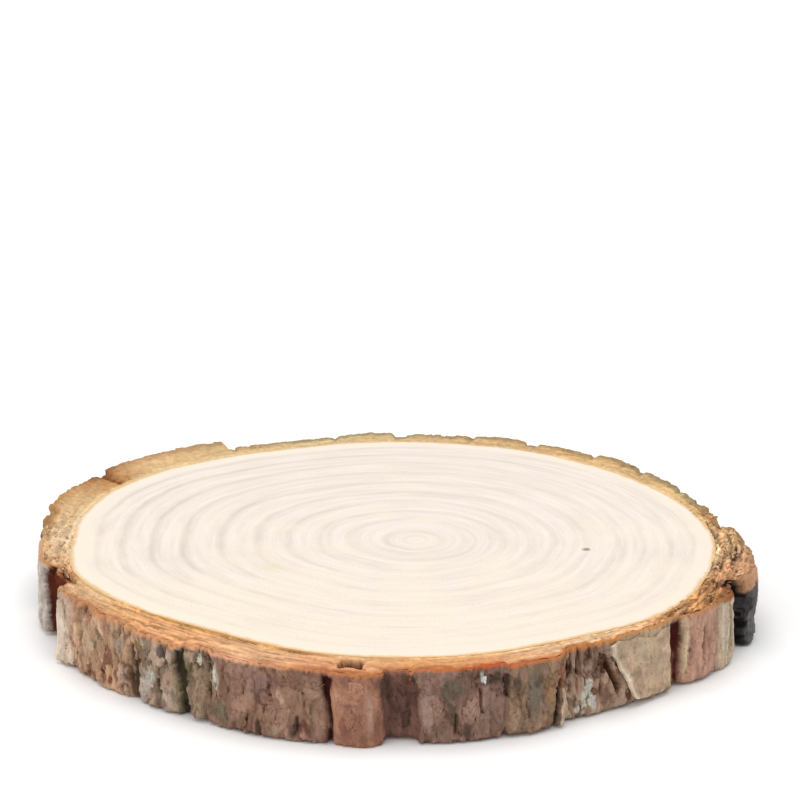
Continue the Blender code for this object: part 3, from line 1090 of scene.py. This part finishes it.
# Crusts of lichen.
CRUSTS = [
    Blob(angle, height, wide, tall, slant, 0.04, 0.2, ink(tint))
    for angle, height, wide, tall, slant, tint in (
        (302.1, 4.3, 0.8, 1.0, 0.12, "BAB6AA"),
        (302.7, 2.4, 0.75, 0.9, -0.2, "BFBBB0"),
        (301.1, 2.0, 0.35, 0.6, 0.0, "C6C4B4"),
        (300.2, 1.5, 0.25, 0.45, 0.0, "C8C4BA"),
        (227.8, 3.0, 0.8, 1.5, 0.1, "B6AAA0"),
        (229.4, 4.9, 0.4, 0.9, 0.2, "B9BAA6"),
        (241.8, 6.7, 0.6, 1.5, -0.2, "C3BFAE"),
        (283.4, 8.6, 0.28, 0.6, 0.0, "DCDCD4"),
        (239.0, 8.4, 0.4, 0.7, 0.0, "C4BBA8"),
        (56.0, 6.0, 0.8, 1.2, 0.0, "BCBCA6"),
        (82.0, 3.4, 0.7, 1.5, 0.2, "C6C6B4"),
        (109.0, 5.6, 0.8, 1.3, -0.2, "B6B8A0"),
        (133.0, 3.0, 0.7, 1.2, 0.0, "C2C2B0"),
        (159.0, 6.4, 0.5, 1.0, 0.0, "B0B298"),
        (172.0, 4.4, 0.8, 1.6, 0.0, "9EA088"),
    )
]


def lichen_mesh():
    """The crusts of lichen, as separate thin shells."""
    mesh = tinted_mesh()
    for seed, crust in enumerate(CRUSTS):
        blob_shell(mesh, crust, seed + 0.5, columns=24, rows=34)
    bmesh.ops.recalc_face_normals(mesh, faces=mesh.faces)
    return mesh


def fibres_mesh():
    """Torn fibres along the cut edge of the bark, thickest where it is most torn."""
    size = sizes()
    draw = random.Random(9)
    mesh = tinted_mesh()
    tint = mesh.verts.layers.float_color["tint"]
    placed = 0
    while placed < size.fibre_count:
        angle = draw.uniform(0, 360)
        inside, middle, outside, torn, layers = band_at(angle)
        if draw.random() > (torn / 0.5) ** 1.5:
            continue
        near, far, core, lip, foot = bark_section(angle, size)
        across = draw.uniform(0.12, 1.02)
        radius = blend(near, far, across)
        height = cut_height(across, lip)
        length, width = draw.uniform(1, 4) * torn * MM, draw.uniform(0.15, 0.45) * torn * MM
        fibre = bmesh.ops.create_cone(
            mesh, cap_ends=True, cap_tris=True, segments=5,
            radius1=width, radius2=0.15 * width, depth=length,
        )["verts"]
        run = Vector((draw.uniform(-0.5, 0.5), draw.choice((-1, 1)), draw.uniform(-0.15, 0.35)))
        run.rotate(Matrix.Rotation(math.radians(angle), 3, "Z"))
        lay = run.to_track_quat("Z", "Y").to_matrix()
        bmesh.ops.rotate(mesh, verts=fibre, cent=(0, 0, 0), matrix=lay)
        bmesh.ops.translate(mesh, verts=fibre, vec=polar(angle, radius, height + 0.02 * MM))
        colour = inside.lerp(outside, draw.random()) * draw.uniform(0.6, 1.3)
        for vert in fibre:
            vert[tint] = (*colour, 1)
        placed += 1
    return mesh


# Materials.


class Value:
    """An output socket of a material. Arithmetic on it adds Math nodes."""

    def __init__(self, graph, socket):
        self.graph, self.socket = graph, socket

    def math(self, operation, *terms):
        return self.graph.node("ShaderNodeMath", {"operation": operation}, terms)

    def __add__(self, other):
        return self.math("ADD", self, other)

    def __sub__(self, other):
        return self.math("SUBTRACT", self, other)

    def __rsub__(self, other):
        return self.math("SUBTRACT", other, self)

    def __mul__(self, other):
        return self.math("MULTIPLY", self, other)

    __radd__ = __add__
    __rmul__ = __mul__

    def axis(self, index):
        return self.graph.node("ShaderNodeSeparateXYZ", None, (self,), output=index)

    def between(self, low, high):
        """0 below low, 1 above high, and smooth between."""
        settings = {"interpolation_type": "SMOOTHSTEP"}
        inputs = {"Value": self, "From Min": low, "From Max": high}
        return self.graph.node("ShaderNodeMapRange", settings, inputs)


class Graph:
    """The nodes of one material, which end in its Principled BSDF."""

    def __init__(self, name, roughness, specular):
        self.material = bpy.data.materials.new(name)
        self.material.use_nodes = True
        self.tree = self.material.node_tree
        self.finish = self.tree.nodes["Principled BSDF"]
        self.finish.inputs["Roughness"].default_value = roughness
        self.finish.inputs["Specular IOR Level"].default_value = specular

    def node(self, kind, settings=None, inputs=(), output=0):
        """Adds a node of a kind, sets it, fills its inputs by name or place, and returns an output."""
        made = self.tree.nodes.new(kind)
        for name, setting in (settings or {}).items():
            setattr(made, name, setting)
        for key, value in inputs.items() if isinstance(inputs, dict) else enumerate(inputs):
            if isinstance(value, Value):
                self.tree.links.new(value.socket, made.inputs[key])
            else:
                made.inputs[key].default_value = value
        return Value(self, made.outputs[output])

    def attribute(self, name, output="Fac"):
        return self.node("ShaderNodeAttribute", {"attribute_name": name}, output=output)

    def place(self, x=1.0, y=1.0, z=1.0):
        """Position on the piece, in units of so many mm along each axis."""
        spot = self.node("ShaderNodeTexCoord", output="Object")
        scale = (1 / (x * MM), 1 / (y * MM), 1 / (z * MM))
        return self.node("ShaderNodeMapping", {"vector_type": "POINT"}, {"Vector": spot, "Scale": scale})

    def noise(self, across, along=None, detail=3.0, roughness=0.55):
        """Noise from 0 to 1 with lumps of that many mm across and along the trunk."""
        return self.noise_at(self.place(across, across, along or across), detail, roughness)

    def noise_at(self, vector, detail, roughness):
        """Noise from 0 to 1 with lumps of 1 unit of the vector."""
        inputs = {"Vector": vector, "Scale": 1.0, "Detail": detail, "Roughness": roughness}
        return self.node("ShaderNodeTexNoise", None, inputs)

    def mix(self, a, b, factor, blend_type="MIX"):
        settings = {"data_type": "RGBA", "blend_type": blend_type}
        return self.node("ShaderNodeMix", settings, {0: factor, 6: a, 7: b}, output=2)

    def dot(self, x, y, core, edge):
        """A spot of the sawn face: 1 within core mm of a place, and 0 past edge mm."""
        flat = self.node("ShaderNodeVectorMath", {"operation": "MULTIPLY"}, (self.place(), (1.0, 1.0, 0.0)))
        away = self.node("ShaderNodeVectorMath", {"operation": "DISTANCE"}, (flat, (x, y, 0.0)), output=1)
        return 1 - (away + (self.noise(0.8) - 0.5) * 0.6 * edge).between(core, edge)

    def shaded(self, tint, value):
        """The colour made darker or lighter by the value."""
        grey = self.node("ShaderNodeCombineColor", None, (value, value, value))
        return self.mix(tint, grey, 1.0, "MULTIPLY")

    def complete(self, face, roughness, relief, depth, strength):
        """The material, with its colour, its roughness and a bump of so many mm."""
        inputs = {"Strength": strength, "Distance": depth * MM, "Height": relief}
        bump = self.node("ShaderNodeBump", None, inputs)
        for name, value in (("Base Color", face), ("Roughness", roughness), ("Normal", bump)):
            self.tree.links.new(value.socket, self.finish.inputs[name])
        return self.material


def four(colour):
    """The colour with its alpha, as a colour socket takes it."""
    return (*colour[:3], 1.0)


def sawn_wood_material():
    """Pale end grain: rings that end in a darker line, growth lines and pores, yellower at the bark."""
    colour = colours()
    graph = Graph("sawn_wood", roughness=0.62, specular=0.25)
    growth = graph.attribute("growth")
    strength = graph.attribute("shade")
    soft = graph.noise(8, detail=2)
    fine = graph.noise(1.4, detail=3)
    speck = graph.noise(0.3, detail=2)
    age = growth + (fine - 0.5) * 0.05 + (soft - 0.5) * 0.10
    # From -0.5 to 0.5 either side of the end of each year's growth.
    beside = age.math("FRACT", age + 0.5) - 0.5
    late = beside.between(-0.5, -0.02) * (1 - beside.between(-0.04, 0.20))
    line = beside.between(-0.26, -0.05) * (1 - beside.between(-0.04, 0.13))
    # Fine lines along the rings: noise that changes fast with growth and slowly over the face.
    spot = graph.place(12, 12, 12)
    run = graph.node("ShaderNodeCombineXYZ", None, (growth * 4.0, spot.axis(0), spot.axis(1)))
    layers = graph.noise_at(run, 4.0, 0.62)
    dark = (late * 0.26 + line * 0.38) * strength * (0.6 + soft * 0.8) + (layers - 0.36) * 1.35
    side = graph.place().axis(1)
    drawn = graph.mix(four(colour.late_wood), four(colour.dry_wood), 1 - side.between(-34, -8))
    face = graph.mix(four(colour.pale_wood), drawn, dark)
    tinge = (soft * 0.7 + graph.noise(5, detail=2) * 0.3 - side * 0.004).between(0.40, 0.68) * 0.6
    face = graph.mix(face, four(colour.warm_wood), tinge)
    face = graph.mix(face, four(ink("CDB99C")), speck.between(0.54, 0.74) * 0.42)  # pores
    face = graph.mix(face, four(ink("8A6F52")), graph.dot(26.5, -3.0, 0.35, 0.8) * 0.8)  # a small knot
    face = graph.mix(face, four(ink("D9D39A")), graph.dot(-17.0, -10.0, 0.5, 2.2) * 0.35)  # a faint stain
    years = len(RING_AGES) - 1
    face = graph.mix(face, four(colour.warm_wood), growth.between(years - 1.35, years - 0.25) * 0.75)
    rim = (growth + (fine - 0.5) * 0.25).between(years - 0.26, years)
    face = graph.mix(face, four(colour.wood_rim), rim * 0.9)
    saw = graph.noise_at(graph.place(14, 0.45, 2), 2.0, 0.6)  # the saw's marks run along X
    relief = saw * 0.5 + fine * 0.4 + layers * 0.6 + speck * 0.4
    return graph.complete(face, 0.54 + fine * 0.16, relief, 0.06, 0.6)


def inner_bark_material():
    """Dry fibrous inner bark, in its own colours, with fine fibres over them."""
    graph = Graph("inner_bark", roughness=0.85, specular=0.15)
    tint = graph.attribute("tint", "Color")
    fibre = graph.noise(0.45, 2.0, detail=4)
    speck = graph.noise(0.22, detail=2)
    face = graph.shaded(tint, 0.74 + fibre * 0.42 + (speck - 0.5) * 0.28)
    return graph.complete(face, 0.78 + fibre * 0.14, fibre * 0.7 + speck * 0.5, 0.16, 0.8)


def outer_bark_material(name="outer_bark"):
    """Weathered bark, in its own colours, with upright grain, specks and pores over them."""
    graph = Graph(name, roughness=0.9, specular=0.12)
    tint = graph.attribute("tint", "Color")
    upright = graph.noise(0.5, 2.6, detail=4)
    speck = graph.noise(0.24, 0.3, detail=3)
    pores = graph.noise(0.5, 0.7, detail=1).between(0.62, 0.74)
    face = graph.shaded(tint, 0.74 + upright * 0.60 + (speck - 0.5) * 0.60 - pores * 0.16)
    relief = upright * 0.6 + speck * 0.6 - pores * 0.5
    return graph.complete(face, 0.84 + speck * 0.12, relief, 0.22, 0.9)


def lichen_material():
    """Pale crusted lichen, grainy, in its own colours."""
    graph = Graph("lichen", roughness=0.92, specular=0.1)
    tint = graph.attribute("tint", "Color")
    grains = graph.noise(0.3, detail=3)
    patches = graph.noise(0.9, detail=2)
    face = graph.shaded(tint, 0.62 + grains * 0.5 + patches * 0.22)
    return graph.complete(face, 0.86 + grains * 0.1, grains, 0.2, 0.9)


# Operators.


class WOODSLICE_OT_sawn_wood(bpy.types.Operator):
    """Builds the wood with both sawn faces and its growth rings"""

    bl_idname = "woodslice.sawn_wood"
    bl_label = "Sawn Wood"

    def execute(self, context):
        piece = finished(wood_mesh(), "sawn_wood", sawn_wood_material(), sharp=35)
        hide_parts(NODE)
        return {"FINISHED"}


class WOODSLICE_OT_inner_bark(bpy.types.Operator):
    """Builds the orange inner bark, cut across by the saw"""

    bl_idname = "woodslice.inner_bark"
    bl_label = "Inner Bark"

    def execute(self, context):
        finished(inner_bark_mesh(), "inner_bark", inner_bark_material(), sharp=60)
        return {"FINISHED"}


class WOODSLICE_OT_outer_bark(bpy.types.Operator):
    """Builds the rough outer bark with its plates and fissures"""

    bl_idname = "woodslice.outer_bark"
    bl_label = "Outer Bark"

    def execute(self, context):
        finished(outer_bark_mesh(), "outer_bark", outer_bark_material(), sharp=60)
        return {"FINISHED"}


class WOODSLICE_OT_flakes(bpy.types.Operator):
    """Builds the flakes that lift off the outer bark"""

    bl_idname = "woodslice.flakes"
    bl_label = "Bark Flakes"

    def execute(self, context):
        finished(flakes_mesh(), "bark_flakes", outer_bark_material("flaked_bark"), sharp=40)
        return {"FINISHED"}


class WOODSLICE_OT_lichen(bpy.types.Operator):
    """Builds the crusts of lichen on the outer bark"""

    bl_idname = "woodslice.lichen"
    bl_label = "Lichen"

    def execute(self, context):
        finished(lichen_mesh(), "lichen_crusts", lichen_material(), sharp=40)
        return {"FINISHED"}


class WOODSLICE_OT_fibres(bpy.types.Operator):
    """Builds the torn fibres along the cut edge of the bark"""

    bl_idname = "woodslice.fibres"
    bl_label = "Torn Fibres"

    def execute(self, context):
        finished(fibres_mesh(), "torn_fibres", inner_bark_material(), sharp=40)
        return {"FINISHED"}


class WOODSLICE_OT_stage(bpy.types.Operator):
    """Builds the floor, the lights and the camera"""

    bl_idname = "woodslice.stage"
    bl_label = "Stage"

    def execute(self, context):
        scene = context.scene
        build_floor()
        build_lights(scene)
        build_camera(scene)
        scene.view_settings.view_transform = "Standard"
        return {"FINISHED"}


def build_floor():
    mesh = bmesh.new()
    bmesh.ops.create_grid(mesh, x_segments=4, y_segments=4, size=3.0)
    data = bpy.data.meshes.new("floor")
    mesh.to_mesh(data)
    mesh.free()
    floor = bpy.data.objects.new("floor", data)
    graph = Graph("floor", roughness=0.9, specular=0.0)
    graph.finish.inputs["Base Color"].default_value = four(colours().floor)
    data.materials.append(graph.material)
    bpy.context.scene.collection.objects.link(floor)


def add_area_light(name, place, size, power, colour):
    lamp = bpy.data.lights.new(name, "AREA")
    lamp.shape = "SQUARE"
    lamp.size = size
    lamp.energy = power
    lamp.color = colour
    light = bpy.data.objects.new(name, lamp)
    light.location = place
    light.rotation_euler = (-Vector(place)).to_track_quat("-Z", "Y").to_euler()
    bpy.context.scene.collection.objects.link(light)


def build_lights(scene):
    stage = scene.slice_stage
    world = bpy.data.worlds.new("sky")
    world.use_nodes = True
    world.node_tree.nodes["Background"].inputs["Color"].default_value = (1.0, 1.0, 1.0, 1.0)
    world.node_tree.nodes["Background"].inputs["Strength"].default_value = stage.sky
    scene.world = world
    add_area_light("top_light", (0.0, 0.06, 1.0), 0.8, stage.top, (1.0, 0.995, 0.985))
    add_area_light("key_light", (-0.50, -0.65, 0.55), 0.8, stage.key, (1.0, 0.985, 0.96))


def build_camera(scene):
    stage = scene.slice_stage
    target = Vector((stage.aside, stage.beyond, 0))
    away = Vector((0, -math.cos(stage.pitch), math.sin(stage.pitch)))
    camera = bpy.data.objects.new("camera", bpy.data.cameras.new("camera"))
    camera.data.sensor_width = 36.0
    camera.data.lens = stage.lens
    camera.data.clip_start = 0.01
    camera.location = target + stage.distance * away
    camera.rotation_euler = (-away).to_track_quat("-Z", "Y").to_euler()
    scene.collection.objects.link(camera)
    scene.camera = camera


class WOODSLICE_PT_panel(bpy.types.Panel):
    """Lists the pieces of the slice and its stage"""

    bl_label = "Wood Slice"
    bl_idname = "WOODSLICE_PT_panel"
    bl_space_type = "VIEW_3D"
    bl_region_type = "UI"
    bl_category = "Wood Slice"

    def draw(self, context):
        layout = self.layout
        for group in (context.scene.slice_sizes, context.scene.slice_colours, context.scene.slice_stage):
            box = layout.box()
            for name in group.__annotations__:
                box.prop(group, name)
        for operator in OPERATORS:
            layout.operator(operator.bl_idname)


OPERATORS = (
    WOODSLICE_OT_sawn_wood,
    WOODSLICE_OT_inner_bark,
    WOODSLICE_OT_outer_bark,
    WOODSLICE_OT_flakes,
    WOODSLICE_OT_lichen,
    WOODSLICE_OT_fibres,
    WOODSLICE_OT_stage,
)
CLASSES = (SliceSizes, SliceColours, StageSizes, *OPERATORS, WOODSLICE_PT_panel)


def register():
    for each in CLASSES:
        bpy.utils.register_class(each)
    bpy.types.Scene.slice_sizes = PointerProperty(type=SliceSizes)
    bpy.types.Scene.slice_colours = PointerProperty(type=SliceColours)
    bpy.types.Scene.slice_stage = PointerProperty(type=StageSizes)


def unregister():
    del bpy.types.Scene.slice_stage
    del bpy.types.Scene.slice_colours
    del bpy.types.Scene.slice_sizes
    for each in reversed(CLASSES):
        bpy.utils.unregister_class(each)


def main():
    register()
    bpy.ops.woodslice.sawn_wood()
    bpy.ops.woodslice.inner_bark()
    bpy.ops.woodslice.outer_bark()
    bpy.ops.woodslice.flakes()
    bpy.ops.woodslice.lichen()
    bpy.ops.woodslice.fibres()
    bpy.ops.woodslice.stage()


if __name__ == "__main__":
    main()
